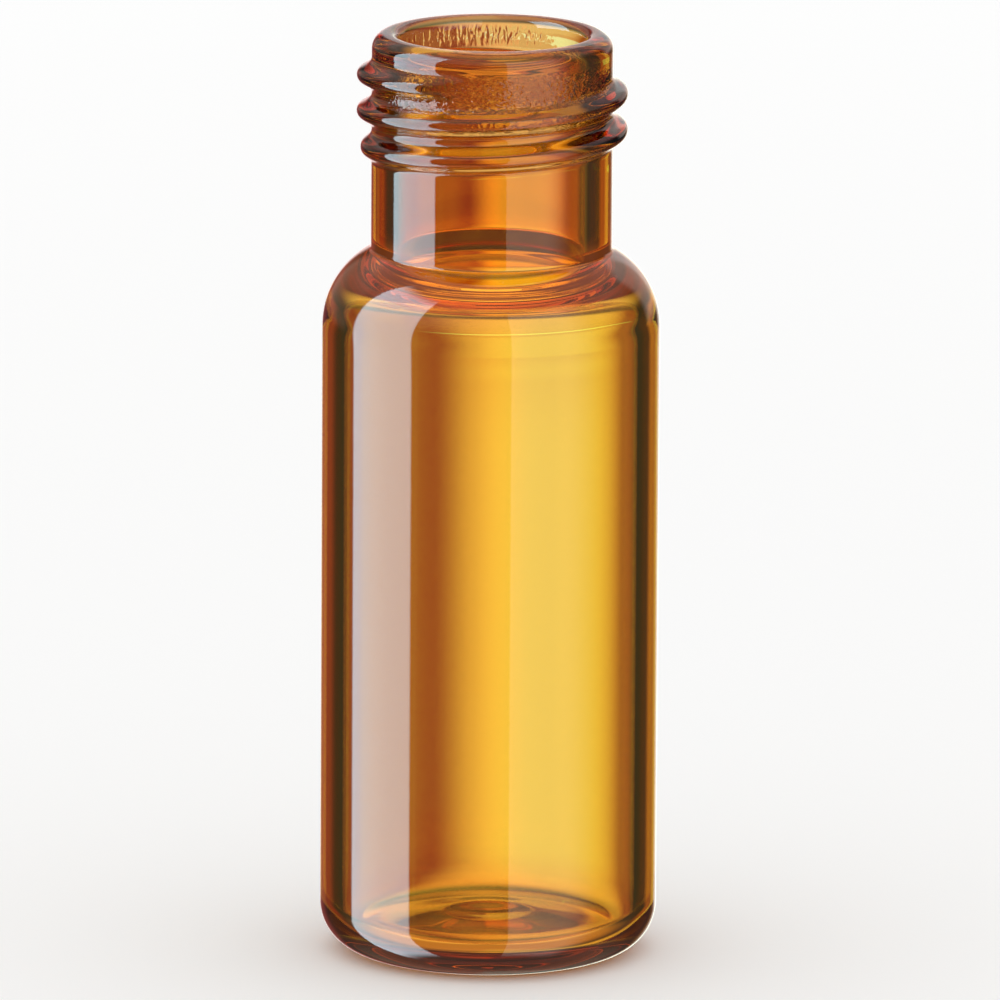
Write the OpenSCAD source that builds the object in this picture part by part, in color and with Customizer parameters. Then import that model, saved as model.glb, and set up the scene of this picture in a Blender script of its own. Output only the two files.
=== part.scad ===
// Small glass sample vial with a screw neck, made from one piece of tube.
// It is turned about Z, stands on its foot at Z = 0 and opens upwards.

/* [Body] */
// outside diameter of the body
body_d = 11.6; // [11:0.1:13]
// height from the foot to the top of the lip
total_h = 32.1; // [30:0.1:45]
// thickness of the body's wall
body_wall = 0.75; // [0.6:0.05:1]
// radius of the rounded shoulder, outside
shoulder_r = 3; // [2.6:0.1:3.4]
// radius of the shoulder inside
shoulder_in_r = 1.2; // [1:0.1:1.8]
// depth of the glass between the neck's corner and the top of the hollow
shoulder_t = 1.2; // [0.9:0.1:1.8]

/* [Base] */
// radius of the rounded edge round the foot
foot_r = 1.65; // [1.4:0.05:2.2]
// thickness of the floor next to the wall
floor_t = 1; // [0.9:0.05:1.6]
// radius inside, where the wall turns into the floor
floor_r = 0.8; // [0.6:0.1:1.6]
// how far the floor rises towards its middle
floor_rise = 0.45; // [0:0.05:0.6]
// diameter of the dimple in the middle of the floor
dimple_d = 3.4; // [2:0.2:5]
// depth of that dimple
dimple_depth = 0.1; // [0.05:0.05:0.4]
// outside diameter of the hollow under the base
hollow_d = 7.6; // [5:0.2:8]
// height of the hollow under the base
hollow_h = 0.1; // [0.1:0.05:0.5]

/* [Neck] */
// outside diameter of the neck between the threads
neck_d = 8.28; // [8.2:0.02:8.6]
// diameter of the mouth's straight bore
bore_d = 6.4; // [5.6:0.1:6.8]
// length of the neck from the lip down to the shoulder
neck_len = 7.4; // [6.5:0.05:9]
// radius of the hollow corner between neck and shoulder
neck_fillet = 0.2; // [0.2:0.05:0.5]
// diameter of the narrow ring inside, where the bore ends
throat_d = 5.7; // [5.4:0.1:6.2]
// height over which the bore narrows to that ring
throat_h = 0.35; // [0.2:0.05:0.8]
// radius of the ring's rounded underside
throat_r = 0.5; // [0.3:0.05:0.9]
// outer rounding of the lip
lip_outer_r = 0.55; // [0.3:0.05:0.55]
// inner rounding of the lip
lip_inner_r = 0.35; // [0.2:0.05:0.4]

/* [Thread] */
// diameter over the thread's crests
thread_d = 9.3; // [9:0.05:9.6]
// rise in one turn, right-handed
thread_pitch = 1.25; // [1.2:0.05:1.5]
// turns from end to end, the faded ends included
thread_turns = 2.7; // [2:0.1:3]
// distance from the lip down to the crest at the upper end
thread_drop = 1.15; // [1:0.05:1.5]
// angle about Z at which the thread ends at the top
thread_end = 255; // [0:15:345]
// angle in which the ridge fades out at the top
fade_top = 95; // [45:5:180]
// angle in which the ridge rises at the bottom
fade_low = 270; // [90:5:300]

/* [Hidden] */
body_r = body_d / 2;
neck_r = neck_d / 2;
bore_r = bore_d / 2;
cavity_r = body_r - body_wall;
arc_x = body_r - shoulder_r;
rise = sqrt(pow(shoulder_r + neck_fillet, 2) - pow(neck_r + neck_fillet - arc_x, 2));
neck_z = total_h - neck_len;
arc_z = neck_z - rise;
shoulder_a = atan2(rise, neck_r + neck_fillet - arc_x);
throat_w = throat_d / 2;
// the arc inside the shoulder, and the ring's arc that leads from it up to the narrowest place
in_x = cavity_r - shoulder_in_r;
in_z = arc_z + sqrt(pow(shoulder_r, 2) - pow(neck_r - arc_x, 2)) - shoulder_t - shoulder_in_r;
throat_rise = sqrt(pow(shoulder_in_r + throat_r, 2) - pow(throat_w + throat_r - in_x, 2));
throat_a = atan2(throat_rise, throat_w + throat_r - in_x);
throat_z = in_z + throat_rise;
flat_r = cavity_r - floor_r;
hollow_r = hollow_d / 2;
dimple_r = dimple_d / 2;
// the ridge's foot lies this far inside the neck, so that the two join cleanly
sink = 0.08;
ridge_half = 0.48 * thread_pitch;
ridge_h = thread_d / 2 - neck_r;
ridge_points = 6;
turn_steps = 40;
ridge_steps = round(thread_turns * turn_steps);
bevel = 8;

// points of an arc about [x, z] from angle a to angle b
function arc(x, z, r, a, b, n) =
    [for (i = [0 : n]) [x + r * cos(a + (b - a) * i / n), z + r * sin(a + (b - a) * i / n)]];

// a smooth hump: 1 at its middle, 0 from radius r on
function hump(x, r) = x < r ? (1 + cos(180 * x / r)) / 2 : 0;

// height of the floor's upper face at distance x from the axis
function floor_z(x) =
    floor_t + floor_rise * hump(x, flat_r) - dimple_depth * hump(x, dimple_r);

// the section of the glass, from the middle of the base round the outside and back inside
function section() = concat(
    [for (i = [0 : 5]) [hollow_r * i / 5, hollow_h * hump(hollow_r * i / 5, hollow_r)]],
    arc(body_r - foot_r, foot_r, foot_r, -90, 0, bevel),
    arc(arc_x, arc_z, shoulder_r, 0, shoulder_a, bevel),
    arc(neck_r + neck_fillet, neck_z, neck_fillet, 180 + shoulder_a * 0.75, 180, 3),
    arc(neck_r - lip_outer_r, total_h - lip_outer_r, lip_outer_r, 0, 90, 6),
    arc(bore_r + lip_inner_r, total_h - lip_inner_r, lip_inner_r, 90, 180, 5),
    [for (i = [5 : -1 : 1]) [throat_w + (bore_r - throat_w) * ease(i / 5), throat_z + throat_h * i / 5]],
    arc(throat_w + throat_r, throat_z, throat_r, 180, 180 + throat_a * 0.85, 5),
    arc(in_x, in_z, shoulder_in_r, throat_a, 0, bevel),
    arc(flat_r, floor_z(flat_r) + floor_r, floor_r, 0, -90, 6),
    [for (i = [7 : -1 : 0]) [flat_r * i / 8, floor_z(flat_r * i / 8)]]
);

// a smooth step from 0 to 1
function ease(t) = t <= 0 ? 0 : t >= 1 ? 1 : t * t * (3 - 2 * t);

// height of the ridge over the neck at angle a from its lower end
function lift(a) =
    (ridge_h + sink / 2) * ease(a / fade_low) * ease((thread_turns * 360 - a) / fade_top)
    - sink / 2;

// a point of the ridge: step i along the thread, point j across it
function ridge_point(i, j) =
    let (
        a = 360 * i / turn_steps,
        w = ridge_half * (2 * j / ridge_points - 1),
        r = neck_r - sink + (lift(a) + sink) * cos(90 * w / ridge_half),
        z = total_h - thread_drop + thread_pitch * (a / 360 - thread_turns) + w,
        turn = a + thread_end - 360 * thread_turns
    )
    [r * cos(turn), r * sin(turn), z];

// number of the ridge's point j at step i
function at(i, j) = i * (ridge_points + 1) + j % (ridge_points + 1);

// the thread: one ridge of rounded section that winds up the neck and fades at both ends
module thread() {
    polyhedron(
        points = [for (i = [0 : ridge_steps]) for (j = [0 : ridge_points]) ridge_point(i, j)],
        faces = concat(
            [[for (j = [ridge_points : -1 : 0]) at(0, j)]],
            [[for (j = [0 : ridge_points]) at(ridge_steps, j)]],
            [for (i = [0 : ridge_steps - 1]) for (j = [0 : ridge_points])
                [at(i, j), at(i + 1, j + 1), at(i + 1, j)]],
            [for (i = [0 : ridge_steps - 1]) for (j = [0 : ridge_points])
                [at(i, j), at(i, j + 1), at(i + 1, j + 1)]]
        )
    );
}

module vial() {
    color([0.62, 0.32, 0.07, 0.55])
    union() {
        rotate_extrude($fn = 96)
            polygon(section());
        thread();
    }
}

vial();
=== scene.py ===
import math

import bpy
import numpy as np
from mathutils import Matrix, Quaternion, Vector

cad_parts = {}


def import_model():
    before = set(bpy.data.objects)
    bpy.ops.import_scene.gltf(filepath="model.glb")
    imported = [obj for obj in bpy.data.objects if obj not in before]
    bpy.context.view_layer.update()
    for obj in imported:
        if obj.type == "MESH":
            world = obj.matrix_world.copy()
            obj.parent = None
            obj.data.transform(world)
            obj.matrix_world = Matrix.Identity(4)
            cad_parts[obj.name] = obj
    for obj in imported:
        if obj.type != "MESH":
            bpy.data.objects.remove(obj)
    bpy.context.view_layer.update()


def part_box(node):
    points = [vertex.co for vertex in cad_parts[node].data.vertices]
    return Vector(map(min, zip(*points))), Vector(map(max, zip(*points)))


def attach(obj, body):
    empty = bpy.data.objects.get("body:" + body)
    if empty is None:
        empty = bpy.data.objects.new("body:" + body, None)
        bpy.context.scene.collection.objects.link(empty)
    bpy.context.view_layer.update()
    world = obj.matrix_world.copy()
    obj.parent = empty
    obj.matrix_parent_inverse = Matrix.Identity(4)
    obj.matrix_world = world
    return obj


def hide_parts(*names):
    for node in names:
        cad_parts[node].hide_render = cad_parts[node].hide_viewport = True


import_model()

vial_low, vial_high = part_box("vial")

MM = 0.001


# ---------------------------------------------------------------- sizes of the vial
# lengths in millimetres, angles in degrees

TOTAL_H = vial_high.z / MM
BODY_R = (vial_high.x - vial_low.x) / 2 / MM
BODY_WALL = 0.75
SHOULDER_R = 3.0
SHOULDER_IN_R = 1.2
# depth of the glass between the neck's corner and the top of the hollow
SHOULDER_T = 1.2

# the foot's rounded edge, the floor above it and the hollow under it
FOOT_R = 1.65
FLOOR_T = 1.0
FLOOR_R = 0.8
FLOOR_RISE = 0.45
DIMPLE_R = 1.9
DIMPLE_DEPTH = 0.24
HOLLOW_R = 3.8
HOLLOW_H = 0.1

# the neck, its straight bore and its lip
NECK_R = 4.14
NECK_LEN = 7.4
NECK_FILLET = 0.2
BORE_R = 3.2
LIP_OUTER_R = 0.55
LIP_INNER_R = 0.35

# the narrow ring where the bore ends: its radius, the height of its slope and its rounded underside
WAIST_R = 2.85
WAIST_H = 0.35
THROAT_R = 0.5

# the thread: radius over its crest, rise in a turn, place and angle of its upper end,
# and the angles in which it fades at the top and rises at the bottom
THREAD_R = 4.65
PITCH = 1.25
TURNS = 2.72
THREAD_DROP = 1.165
THREAD_END = 262.0
FADE_TOP = 30.0
FADE_LOW = 270.0

# places that follow from the sizes: the shoulder's arcs outside and inside, and the ring's
CAVITY_R = BODY_R - BODY_WALL
FLAT_R = CAVITY_R - FLOOR_R
NECK_Z = TOTAL_H - NECK_LEN
ARC_X = BODY_R - SHOULDER_R
RISE = math.sqrt((SHOULDER_R + NECK_FILLET) ** 2 - (NECK_R + NECK_FILLET - ARC_X) ** 2)
ARC_Z = NECK_Z - RISE
SHOULDER_A = math.degrees(math.atan2(RISE, NECK_R + NECK_FILLET - ARC_X))
IN_X = CAVITY_R - SHOULDER_IN_R
IN_Z = ARC_Z + math.sqrt(SHOULDER_R ** 2 - (NECK_R - ARC_X) ** 2) - SHOULDER_T - SHOULDER_IN_R
WAIST_Z = IN_Z + math.sqrt((SHOULDER_IN_R + THROAT_R) ** 2 - (WAIST_R + THROAT_R - IN_X) ** 2)
THROAT_A = math.degrees(math.atan2(WAIST_Z - IN_Z, WAIST_R + THROAT_R - IN_X))


# ---------------------------------------------------------------- the glass

def arc(x, z, r, a, b, n):
    """n + 1 points on a circle of radius r about (x, z), evenly spaced from angle a to angle b."""
    t = np.radians(np.linspace(a, b, n + 1))
    return np.stack([x + r * np.cos(t), z + r * np.sin(t)], 1)


def line(a, b, n):
    """n - 1 points evenly spaced strictly between the points a and b."""
    t = np.linspace(0, 1, n + 1)[1:-1, None]
    return np.asarray(a) * (1 - t) + np.asarray(b) * t


def hump(x, r):
    """Half of one plus the cosine of x over r, taken over half a turn, and nothing outside r:
    a smooth rise to 1 in the middle."""
    return np.where(x < r, (1 + np.cos(np.pi * np.clip(x / r, 0, 1))) / 2, 0)


def ease(t):
    """Three t squared less two t cubed, held at 0 below and at 1 above."""
    t = np.clip(t, 0, 1)
    return t * t * (3 - 2 * t)


def floor_z(x):
    """Height of the floor's upper face: its thickness, plus a broad rise, less the dimple in the middle."""
    return FLOOR_T + FLOOR_RISE * hump(x, FLAT_R) - DIMPLE_DEPTH * hump(x, DIMPLE_R)


def section():
    """The half section of the glass as one row of (radius, height) points, from the middle of the base
    round the outside, over the lip and down the inside to the middle of the floor. It is made of
    circle arcs joined by straight lines; the slope above the ring eases from the bore to the ring,
    and the floor and the hollow under the base are humps. Returns the points and which of them lie
    on the neck's outside."""
    hollow_x = np.linspace(0, HOLLOW_R, 15)
    hollow = np.stack([hollow_x, HOLLOW_H * hump(hollow_x, HOLLOW_R)], 1)
    foot = arc(BODY_R - FOOT_R, FOOT_R, FOOT_R, -90, 0, 20)
    shoulder = arc(ARC_X, ARC_Z, SHOULDER_R, 0, SHOULDER_A, 20)
    corner = arc(NECK_R + NECK_FILLET, NECK_Z, NECK_FILLET, 180 + SHOULDER_A, 180, 8)
    lip_out = arc(NECK_R - LIP_OUTER_R, TOTAL_H - LIP_OUTER_R, LIP_OUTER_R, 0, 90, 10)
    lip_in = arc(BORE_R + LIP_INNER_R, TOTAL_H - LIP_INNER_R, LIP_INNER_R, 90, 180, 8)
    t = np.linspace(1, 0, 17)
    waist = np.stack([WAIST_R + (BORE_R - WAIST_R) * ease(t), WAIST_Z + WAIST_H * t], 1)
    throat = arc(WAIST_R + THROAT_R, WAIST_Z, THROAT_R, 180, 180 + THROAT_A, 10)
    inner = arc(IN_X, IN_Z, SHOULDER_IN_R, THROAT_A, 0, 18)
    bowl = arc(FLAT_R, FLOOR_T + FLOOR_R, FLOOR_R, 0, -90, 14)
    floor_x = np.linspace(FLAT_R, 0, 30)
    floor = np.stack([floor_x, floor_z(floor_x)], 1)

    below = [hollow, line(hollow[-1], foot[0], 3), foot, line(foot[-1], shoulder[0], 24), shoulder, corner[1:]]
    neck = line(corner[-1], lip_out[0], 130)
    above = [lip_out, lip_in, line(lip_in[-1], waist[0], 34), waist, throat[1:], inner[1:],
             line(inner[-1], bowl[0], 24), bowl, floor[1:]]
    points = np.concatenate(below + [neck] + above)
    first = sum(len(row) for row in below)
    outside = np.zeros(len(points), bool)
    outside[first - 1:first + len(neck) + 1] = True
    return points, outside


def thread_rise(turn, z):
    """How far the thread stands out of the neck at an angle in degrees and a height. The ridge's crest
    climbs one pitch a turn. Across it the section is a wave with round crests and round valleys and
    steep flanks between them: a cosine c, carried to c times the root of two over one plus c squared.
    Its height eases to nothing at both ends. Neighbouring turns are compared, and the highest counts."""
    length = 360 * TURNS
    crest_z = TOTAL_H - THREAD_DROP
    start = THREAD_END - length
    best = np.zeros(np.broadcast(turn, z).shape)
    for k in range(math.ceil(TURNS)):
        a = np.mod(turn - start, 360) + 360 * k
        w = z - (crest_z + PITCH * (a - length) / 360)
        on = (a <= length) & (np.abs(w) < PITCH / 2)
        full = (THREAD_R - NECK_R) * ease(a / FADE_LOW) * ease((length - a) / FADE_TOP)
        c = np.cos(2 * np.pi * w / PITCH)
        wave = (1 + c * np.sqrt(2 / (1 + c * c))) / 2
        best = np.where(on, np.maximum(best, full * wave), best)
    return best


def turned_glass(around):
    """The whole vial as one closed surface: the half section is turned about Z in equal steps, and on
    the neck's outside each point moves outwards by the thread's rise at its angle and height. The two
    ends of the section lie on the axis, where each row of points becomes a single point."""
    profile, outside = section()
    turn = np.linspace(0, 360, around, endpoint=False)
    r = np.repeat(profile[1:-1, 0][:, None], around, 1)
    z = np.repeat(profile[1:-1, 1][:, None], around, 1)
    r = r + np.where(outside[1:-1, None], thread_rise(turn[None, :], z), 0)
    x = r * np.cos(np.radians(turn))
    y = r * np.sin(np.radians(turn))
    rings = np.stack([x, y, z], 2).reshape(-1, 3)
    poles = np.array([[0, 0, profile[0, 1]], [0, 0, profile[-1, 1]]])
    points = np.concatenate([rings, poles]) * MM

    j = np.arange(around)
    k = (j + 1) % around
    row = np.arange(len(profile) - 3)[:, None] * around
    quads = np.stack([row + j, row + k, row + around + k, row + around + j], 2).reshape(-1, 4)
    last = (len(profile) - 3) * around
    low = np.stack([np.full(around, len(points) - 2), k, j], 1)
    high = np.stack([np.full(around, len(points) - 1), last + j, last + k], 1)
    return points, quads, np.concatenate([low, high])


def mesh_object(name, points, quads, triangles):
    """Puts whole arrays of points and faces into a smooth-shaded mesh object at the origin."""
    mesh = bpy.data.meshes.new(name)
    mesh.vertices.add(len(points))
    mesh.vertices.foreach_set("co", points.ravel())
    corners = np.concatenate([quads.ravel(), triangles.ravel()])
    mesh.loops.add(len(corners))
    mesh.loops.foreach_set("vertex_index", corners.astype(np.int32))
    starts = np.concatenate([np.arange(len(quads)) * 4, len(quads) * 4 + np.arange(len(triangles)) * 3])
    mesh.polygons.add(len(starts))
    mesh.polygons.foreach_set("loop_start", starts.astype(np.int32))
    mesh.update(calc_edges=True)
    mesh.shade_smooth()
    piece = bpy.data.objects.new(name, mesh)
    bpy.context.scene.collection.objects.link(piece)
    return piece


# ---------------------------------------------------------------- nodes

NUMBER, COLOUR, VECTOR = "NodeSocketFloat", "NodeSocketColor", "NodeSocketVector"


def feed(tree, socket, value):
    """Gives a socket a plain number or colour, or links it to another node's output."""
    if isinstance(value, (int, float, tuple)):
        socket.default_value = value
    else:
        tree.links.new(value, socket)


def math_node(tree, kind, *values):
    """The result of one Math node on one or two values."""
    node = tree.nodes.new("ShaderNodeMath")
    node.operation = kind
    for socket, value in zip(node.inputs, values):
        feed(tree, socket, value)
    return node.outputs[0]


def vector_node(tree, kind, values):
    """The result of one Vector Math node; values goes from the names or numbers of its inputs to what
    they are given."""
    node = tree.nodes.new("ShaderNodeVectorMath")
    node.operation = kind
    for name, value in values.items():
        feed(tree, node.inputs[name], value)
    return node.outputs[0]


def smooth_step(tree, value, low, high):
    """0 to 1 as value passes from low to high: three t squared less two t cubed."""
    node = tree.nodes.new("ShaderNodeMapRange")
    node.interpolation_type = "SMOOTHSTEP"
    for name, number in (("Value", value), ("From Min", low), ("From Max", high)):
        feed(tree, node.inputs[name], number)
    return node.outputs["Result"]


def new_group(name, inputs, output, output_kind):
    """An empty shader node group. inputs is rows of (name, kind, value to start from). Returns the
    group, what its inputs give, and the socket that takes its result."""
    group = bpy.data.node_groups.new(name, "ShaderNodeTree")
    for label, kind, value in inputs:
        socket = group.interface.new_socket(label, in_out="INPUT", socket_type=kind)
        if value is not None:
            socket.default_value = value
    group.interface.new_socket(output, in_out="OUTPUT", socket_type=output_kind)
    given = group.nodes.new("NodeGroupInput").outputs
    return group, given, group.nodes.new("NodeGroupOutput").inputs[output]


def place_group(tree, group, **values):
    """Puts a node group into a tree. A value is a number, a colour or another node's output, and its
    name is the socket's in small letters, with _ for a space."""
    node = tree.nodes.new("ShaderNodeGroup")
    node.node_tree = group
    for socket in node.inputs:
        feed(tree, socket, values[socket.name.lower().replace(" ", "_")])
    return node.outputs[0]


# ---------------------------------------------------------------- materials

# tints of the glass by height, deeper at the foot, the neck and the thread: one wall shows its tint once
FOOT_TINT = (0.88, 0.55, 0.38, 1.0)
BODY_TINT = (0.94, 0.83, 0.54, 1.0)
NECK_TINT = (0.93, 0.66, 0.34, 1.0)
THREAD_TINT = (0.75, 0.51, 0.45, 1.0)
# heights between which the tint changes, and the tint above them
TINTS = (
    (0.4, 2.6, BODY_TINT),
    (ARC_Z, NECK_Z + 0.6, NECK_TINT),
    (TOTAL_H - 4.6, TOTAL_H - 3.6, THREAD_TINT),
)

# a faint painted glow, emission that stands in for the light that wanders inside the thick glass of the foot
# and the shoulder
FOOT_PAINTED_GLOW = (0.010, 0.004, 0.001, 1.0)
SHOULDER_PAINTED_GLOW = (0.055, 0.015, 0.002, 1.0)
DARK = (0.0, 0.0, 0.0, 1.0)
# heights between which the painted glow changes, and its colour above them
PAINTED_GLOWS = (
    (1.0, 2.0, DARK),
    (ARC_Z + 0.9, ARC_Z + 1.9, SHOULDER_PAINTED_GLOW),
    (NECK_Z + 0.1, NECK_Z + 0.5, DARK),
)

# the colour in the depth of the glass, and how dense it is
DEPTH_COLOUR = (0.975, 0.875, 0.40, 1.0)
DEPTH_DENSITY = 2000.0

# belts of crinkles inside the mouth and on the thread: low, high and inner radius in millimetres,
# side in degrees round the axis, grains in a metre, and how far they are drawn out (less is longer)
CRINKLES = (
    (31.0, 31.85, 3.4, 120.0, 5200.0, 0.35),
    (29.3, 31.3, 4.25, 275.0, 4200.0, 1.6),
)
CRINKLE_SOFT = 0.3
CRINKLE_HEIGHT = 0.05


def tint_group():
    """A node group that puts out a colour between two tints, by height: the first below From, the
    second above To, with a smooth change between them. It gives the glass both its tint and its
    painted glow."""
    group, given, result = new_group("tint_by_height", (
        ("Height", NUMBER, 0.0), ("From", NUMBER, 0.0), ("To", NUMBER, 0.001),
        ("Low Tint", COLOUR, (1, 1, 1, 1)), ("High Tint", COLOUR, (1, 1, 1, 1)),
    ), "Tint", COLOUR)
    mix = group.nodes.new("ShaderNodeMix")
    mix.data_type = "RGBA"
    group.links.new(smooth_step(group, given["Height"], given["From"], given["To"]), mix.inputs["Factor"])
    group.links.new(given["Low Tint"], mix.inputs["A"])
    group.links.new(given["High Tint"], mix.inputs["B"])
    group.links.new(mix.outputs["Result"], result)
    return group


def by_height(tree, group, height, lowest, steps):
    """A colour that starts as the lowest one and changes at each step, a row of (from, to, colour above)."""
    colour = lowest
    for z_from, z_to, above in steps:
        colour = place_group(tree, group, height=height, **{"from": z_from * MM, "to": z_to * MM},
                             low_tint=colour, high_tint=above)
    return colour


def crinkle_group():
    """A node group that puts out the height of the small crinkles that hot tools leave in a mouth:
    noise drawn out along the axis, in a belt between two heights, inside a given radius, and
    strongest on one side, where x cos a plus y sin a over the radius is large."""
    group, given, result = new_group("tool_crinkles", (
        ("Point", VECTOR, None), ("Low", NUMBER, 0.0), ("High", NUMBER, 0.001), ("Soft", NUMBER, 0.0003),
        ("Radius", NUMBER, 0.003), ("Side", NUMBER, 0.0), ("Grain", NUMBER, 5000.0), ("Draw", NUMBER, 0.5),
    ), "Height", NUMBER)

    def do(kind, *values):
        return math_node(group, kind, *values)

    split = group.nodes.new("ShaderNodeSeparateXYZ")
    group.links.new(given["Point"], split.inputs[0])
    x, y, z = split.outputs
    r = do("SQRT", do("ADD", do("MULTIPLY", x, x), do("MULTIPLY", y, y)))
    over = smooth_step(group, z, given["Low"], do("ADD", given["Low"], given["Soft"]))
    top = do("SUBTRACT", given["High"], given["Soft"])
    under = do("SUBTRACT", 1.0, smooth_step(group, z, top, given["High"]))
    rim = do("ADD", given["Radius"], 0.1 * MM)
    inner = do("SUBTRACT", 1.0, smooth_step(group, r, given["Radius"], rim))
    along_x = do("MULTIPLY", x, do("COSINE", given["Side"]))
    along_y = do("MULTIPLY", y, do("SINE", given["Side"]))
    along = do("ADD", along_x, along_y)
    side = smooth_step(group, do("DIVIDE", along, r), 0.2, 0.75)
    drawn = group.nodes.new("ShaderNodeCombineXYZ")
    for socket, value in zip(drawn.inputs, (x, y, do("MULTIPLY", z, given["Draw"]))):
        group.links.new(value, socket)
    noise = group.nodes.new("ShaderNodeTexNoise")
    group.links.new(drawn.outputs[0], noise.inputs["Vector"])
    group.links.new(given["Grain"], noise.inputs["Scale"])
    noise.inputs["Detail"].default_value = 1.0
    noise.inputs["Distortion"].default_value = 0.6
    mask = do("MULTIPLY", do("MULTIPLY", do("MULTIPLY", over, under), inner), side)
    group.links.new(do("MULTIPLY", noise.outputs["Fac"], mask), result)
    return group


def amber_glass():
    """Clear amber glass with a smooth surface. Part of the colour is in the depth of the glass, so that
    thick places are deeper, and part is a tint by height that is deeper at the foot, the neck and the
    thread. A faint painted glow at the foot and the shoulder stands in for the light that wanders in
    the thick glass. Crinkles from the tools are left in the mouth and on the thread."""
    material = bpy.data.materials.new("amber_glass")
    material.use_nodes = True
    tree = material.node_tree
    nodes, links = tree.nodes, tree.links
    surface = nodes["Principled BSDF"]
    surface.inputs["Roughness"].default_value = 0.0
    surface.inputs["IOR"].default_value = 1.5
    surface.inputs["Transmission Weight"].default_value = 1.0
    surface.inputs["Emission Strength"].default_value = 1.0
    depth = nodes.new("ShaderNodeVolumeAbsorption")
    depth.inputs["Color"].default_value = DEPTH_COLOUR
    depth.inputs["Density"].default_value = DEPTH_DENSITY
    links.new(depth.outputs["Volume"], nodes["Material Output"].inputs["Volume"])

    point = nodes.new("ShaderNodeTexCoord").outputs["Object"]
    split = nodes.new("ShaderNodeSeparateXYZ")
    links.new(point, split.inputs[0])
    height = split.outputs["Z"]
    tint = tint_group()
    links.new(by_height(tree, tint, height, FOOT_TINT, TINTS), surface.inputs["Base Color"])
    # painted glow: emission by height at the foot and the shoulder, standing in for light that wanders inside
    # the thick glass
    links.new(by_height(tree, tint, height, FOOT_PAINTED_GLOW, PAINTED_GLOWS), surface.inputs["Emission Color"])

    crinkle = crinkle_group()
    inside_mouth, on_thread = [
        place_group(tree, crinkle, point=point, low=low * MM, high=high * MM, soft=CRINKLE_SOFT * MM,
                    radius=r * MM, side=math.radians(side), grain=grain, draw=draw)
        for low, high, r, side, grain, draw in CRINKLES]
    bump = nodes.new("ShaderNodeBump")
    bump.inputs["Strength"].default_value = 1.0
    bump.inputs["Distance"].default_value = CRINKLE_HEIGHT * MM
    links.new(math_node(tree, "ADD", inside_mouth, on_thread), bump.inputs["Height"])
    links.new(bump.outputs["Normal"], surface.inputs["Normal"])
    return material


# ---------------------------------------------------------------- studio

# The studio round the vial. Directions go round the horizon in degrees from straight behind the vial,
# positive to the right, and heights are degrees over the horizon. Each row is: from, to, softness of
# either side, bottom, top, their softness, colour, strength as the glass lets it through, and
# strength as the glass mirrors it.
WHITE = (1.0, 1.0, 1.0)
STUDIO = (
    # the opening straight behind, brighter in its lower part
    (-0.9, 10.5, 1.6, 5.0, -27.0, 4.0, 5.0, (0.80, 0.80, 0.60), 1.2, 1.2),
    (-0.9, 10.5, 1.6, 5.0, -60.0, -11.6, 0.25, (0.08, 0.18, 0.15), 1.2, 1.2),
    # a thin strip that lights the far side of the mouth
    (-2.0, 21.0, 2.0, 4.0, -10.60, -10.22, 0.05, (0.20, 0.90, 1.30), 1.2, 0.0),
    # the amber card right of the opening, the red one left of it, and a grey one before the red one
    (9.0, 26.0, 4.0, 5.0, -27.0, 4.0, 5.0, (0.5, 0.20, 0.02), 0.9, 0.6),
    (-29.0, 0.6, 8.0, 1.2, -27.0, 4.0, 5.0, (0.30, 0.03, 0.03), 1.0, 1.0),
    (-14.0, -3.6, 3.0, 1.2, -27.0, 4.0, 5.0, (0.12, 0.16, 0.10), 1.0, 0.4),
    # tall sheets behind the vial that the glass only mirrors, along its edges, rim and shoulder
    (-9.0, 19.0, 3.0, 4.0, -22.0, 60.0, 6.0, WHITE, 0.0, 0.8),
    (17.0, 44.0, 4.0, 5.0, -3.0, 30.0, 4.0, (1.0, 0.85, 0.75), 0.0, 0.7),
    (-62.0, -17.0, 5.0, 4.0, -3.0, 34.0, 4.0, (1.0, 0.80, 0.65), 0.0, 0.3),
    # the soft boxes right and left of the camera
    (112.0, 166.0, 16.0, 0.6, -60.0, 45.0, 6.0, (0.95, 1.0, 0.97), 0.5, 1.4),
    (-124.0, -72.0, 1.0, 1.5, -60.0, 52.0, 6.0, (0.70, 0.95, 1.08), 0.6, 6.9),
    # pale walls at the sides, brighter behind the camera
    (62.0, 400.0, 12.0, 1.0, -100.0, 100.0, 1.0, WHITE, 0.55, 0.1),
    (145.0, 400.0, 15.0, 1.0, -100.0, 100.0, 1.0, WHITE, 0.3, 0.0),
    (-400.0, -145.0, 1.0, 15.0, -100.0, 100.0, 1.0, WHITE, 0.3, 0.0),
    (-400.0, -62.0, 1.0, 12.0, -100.0, 100.0, 1.0, WHITE, 0.55, 0.1),
    # a light ceiling and a warm floor
    (-400.0, 400.0, 1.0, 1.0, 26.0, 100.0, 12.0, WHITE, 1.15, 0.5),
    (-400.0, 400.0, 1.0, 1.0, -100.0, -38.0, 10.0, (1.0, 0.70, 0.50), 0.6, 0.35),
)
FILL = (0.05, 0.05, 0.05)


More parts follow.
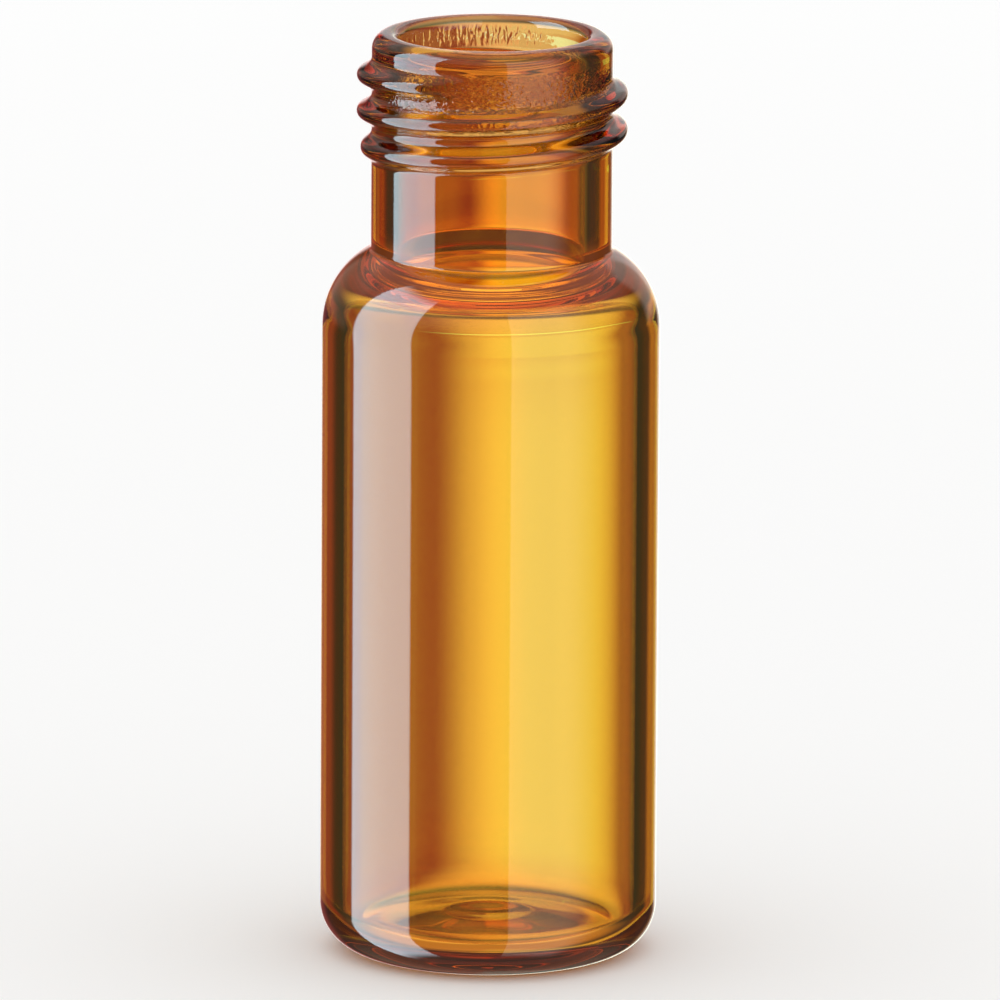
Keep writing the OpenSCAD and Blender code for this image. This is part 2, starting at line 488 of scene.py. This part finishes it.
def window_group():
    """A node group that puts out a mask: 1 inside a span of directions round the horizon and of heights
    over it, falling off softly at its edges. Azimuth is measured in degrees from +Y towards +X."""
    group, given, result = new_group("studio_window", (
        ("Azimuth", NUMBER, 0.0), ("From", NUMBER, -10.0), ("To", NUMBER, 10.0), ("Soft From", NUMBER, 2.0),
        ("Soft To", NUMBER, 2.0), ("Height", NUMBER, 0.0), ("Bottom", NUMBER, -90.0), ("Top", NUMBER, 90.0),
        ("Soft Height", NUMBER, 2.0),
    ), "Mask", NUMBER)

    def past(value, at, soft):
        """0 to 1 as value passes from at less soft to at plus soft."""
        low = math_node(group, "SUBTRACT", at, soft)
        return smooth_step(group, value, low, math_node(group, "ADD", at, soft))

    def before(value, at, soft):
        """1 to 0 over the same span."""
        return math_node(group, "SUBTRACT", 1.0, past(value, at, soft))

    across = math_node(group, "MULTIPLY", past(given["Azimuth"], given["From"], given["Soft From"]),
                       before(given["Azimuth"], given["To"], given["Soft To"]))
    up = math_node(group, "MULTIPLY", past(given["Height"], given["Bottom"], given["Soft Height"]),
                   before(given["Height"], given["Top"], given["Soft Height"]))
    group.links.new(math_node(group, "MULTIPLY", across, up), result)
    return group


def studio_light(tree, path):
    """The studio's colour in each direction: the fill, plus every part's colour times its mask times its
    strength, which is one for light that comes through the glass and another for light it mirrors."""
    split = tree.nodes.new("ShaderNodeSeparateXYZ")
    tree.links.new(tree.nodes.new("ShaderNodeTexCoord").outputs["Generated"], split.inputs[0])
    round_horizon = math_node(tree, "ARCTAN2", split.outputs["X"], split.outputs["Y"])
    over_horizon = math_node(tree, "ARCSINE", split.outputs["Z"])
    azimuth = math_node(tree, "MULTIPLY", round_horizon, 180 / math.pi)
    height = math_node(tree, "MULTIPLY", over_horizon, 180 / math.pi)
    group = window_group()
    total = FILL
    for a, b, soft_a, soft_b, bottom, top, soft_height, colour, through, mirrored in STUDIO:
        mask = place_group(tree, group, azimuth=azimuth, **{"from": a, "to": b}, soft_from=soft_a,
                           soft_to=soft_b, height=height, bottom=bottom, top=top, soft_height=soft_height)
        strength = tree.nodes.new("ShaderNodeMapRange")
        tree.links.new(path.outputs["Is Reflection Ray"], strength.inputs["Value"])
        strength.inputs["To Min"].default_value = through
        strength.inputs["To Max"].default_value = mirrored
        amount = math_node(tree, "MULTIPLY", mask, strength.outputs["Result"])
        light = vector_node(tree, "SCALE", {0: colour, "Scale": amount})
        total = vector_node(tree, "ADD", {0: total, 1: light})
    return total


def glass_rays(tree, path):
    """1 for a ray that the glass mirrors or lets through, and 0 for any other."""
    return math_node(tree, "MAXIMUM", path.outputs["Is Glossy Ray"], path.outputs["Is Transmission Ray"])


def mixed(tree, factor, first, second):
    """The first shader where factor is 0 and the second where it is 1."""
    mix = tree.nodes.new("ShaderNodeMixShader")
    for socket, value in zip(mix.inputs, (factor, first.outputs[0], second.outputs[0])):
        tree.links.new(value, socket)
    return mix


def studio_world():
    """White where the camera and matt things see it. The glass shows and mirrors the studio round it, as
    a maker sets it up for glass: a bright opening straight behind, cards beside it, a large soft box on
    each side of the camera, and pale walls."""
    world = bpy.data.worlds.new("studio")
    bpy.context.scene.world = world
    world.use_nodes = True
    tree = world.node_tree
    tree.nodes.clear()
    path = tree.nodes.new("ShaderNodeLightPath")
    white = tree.nodes.new("ShaderNodeBackground")
    white.inputs["Color"].default_value = WHITE + (1.0,)
    room = tree.nodes.new("ShaderNodeBackground")
    tree.links.new(studio_light(tree, path), room.inputs["Color"])
    straight = math_node(tree, "LESS_THAN", path.outputs["Diffuse Depth"], 0.5)
    shown = math_node(tree, "MULTIPLY", glass_rays(tree, path), straight)
    out = tree.nodes.new("ShaderNodeOutputWorld")
    tree.links.new(mixed(tree, shown, white, room).outputs[0], out.inputs["Surface"])
    return world


def pale_floor(reach, around):
    """A flat pale disc under the vial, a fan of triangles about the axis. It is seen by the camera and
    takes the shadow, and it fades into the white round it, from 0.15 to 0.9 of its radius; the glass
    looks through it into the studio."""
    turn = np.linspace(0, 2 * np.pi, around + 1)[:-1]
    ring = np.stack([reach * np.cos(turn), reach * np.sin(turn), np.zeros(around)], 1)
    points = np.concatenate([ring, np.zeros((1, 3))]) * MM
    j = np.arange(around)
    fan = np.stack([np.full(around, around), j, (j + 1) % around], 1)
    floor = mesh_object("floor", points, np.zeros((0, 4), int), fan)

    material = bpy.data.materials.new("pale_floor")
    material.use_nodes = True
    tree = material.node_tree
    tree.nodes.clear()
    point = tree.nodes.new("ShaderNodeTexCoord").outputs["Object"]
    away = tree.nodes.new("ShaderNodeVectorMath")
    away.operation = "LENGTH"
    tree.links.new(point, away.inputs[0])
    fade = smooth_step(tree, away.outputs["Value"], 0.15 * reach * MM, 0.9 * reach * MM)
    clear = math_node(tree, "MAXIMUM", glass_rays(tree, tree.nodes.new("ShaderNodeLightPath")), fade)
    matt = tree.nodes.new("ShaderNodeBsdfDiffuse")
    matt.inputs["Color"].default_value = (0.96, 0.96, 0.955, 1.0)
    through = tree.nodes.new("ShaderNodeBsdfTransparent")
    out = tree.nodes.new("ShaderNodeOutputMaterial")
    tree.links.new(mixed(tree, clear, matt, through).outputs[0], out.inputs["Surface"])
    floor.data.materials.append(material)
    return floor


def front_camera(elevation, distance, width, centre_z, side, roll):
    """A camera in front of the vial on -Y, raised by elevation, that looks at a point on the axis moved
    sideways by side, and takes in the given width there. Lengths are in millimetres, angles in degrees."""
    data = bpy.data.cameras.new("camera")
    camera = bpy.data.objects.new("camera", data)
    bpy.context.scene.collection.objects.link(camera)
    e = math.radians(elevation)
    back = Vector((0, -math.cos(e), math.sin(e)))
    data.sensor_width = 36
    data.lens = 36 * distance / width
    data.clip_start, data.clip_end = 0.01, 10
    look = (-back).to_track_quat("-Z", "Y")
    right = look @ Vector((1, 0, 0))
    target = Vector((0, 0, centre_z * MM)) + right * side * MM
    camera.rotation_mode = "QUATERNION"
    camera.location = target + back * distance * MM
    camera.rotation_quaternion = look @ Quaternion((0, 0, 1), math.radians(roll))
    bpy.context.scene.camera = camera
    return camera


# ---------------------------------------------------------------- put together

bpy.context.scene.view_settings.view_transform = "Standard"
front_camera(elevation=12.0, distance=600.0, width=34.4, centre_z=15.76, side=0.34, roll=0.33)
studio_world()
pale_floor(reach=300.0, around=96)

points, quads, triangles = turned_glass(around=256)
vial = mesh_object("vial_glass", points, quads, triangles)
vial.data.materials.append(amber_glass())
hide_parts("vial")
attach(vial, "root")
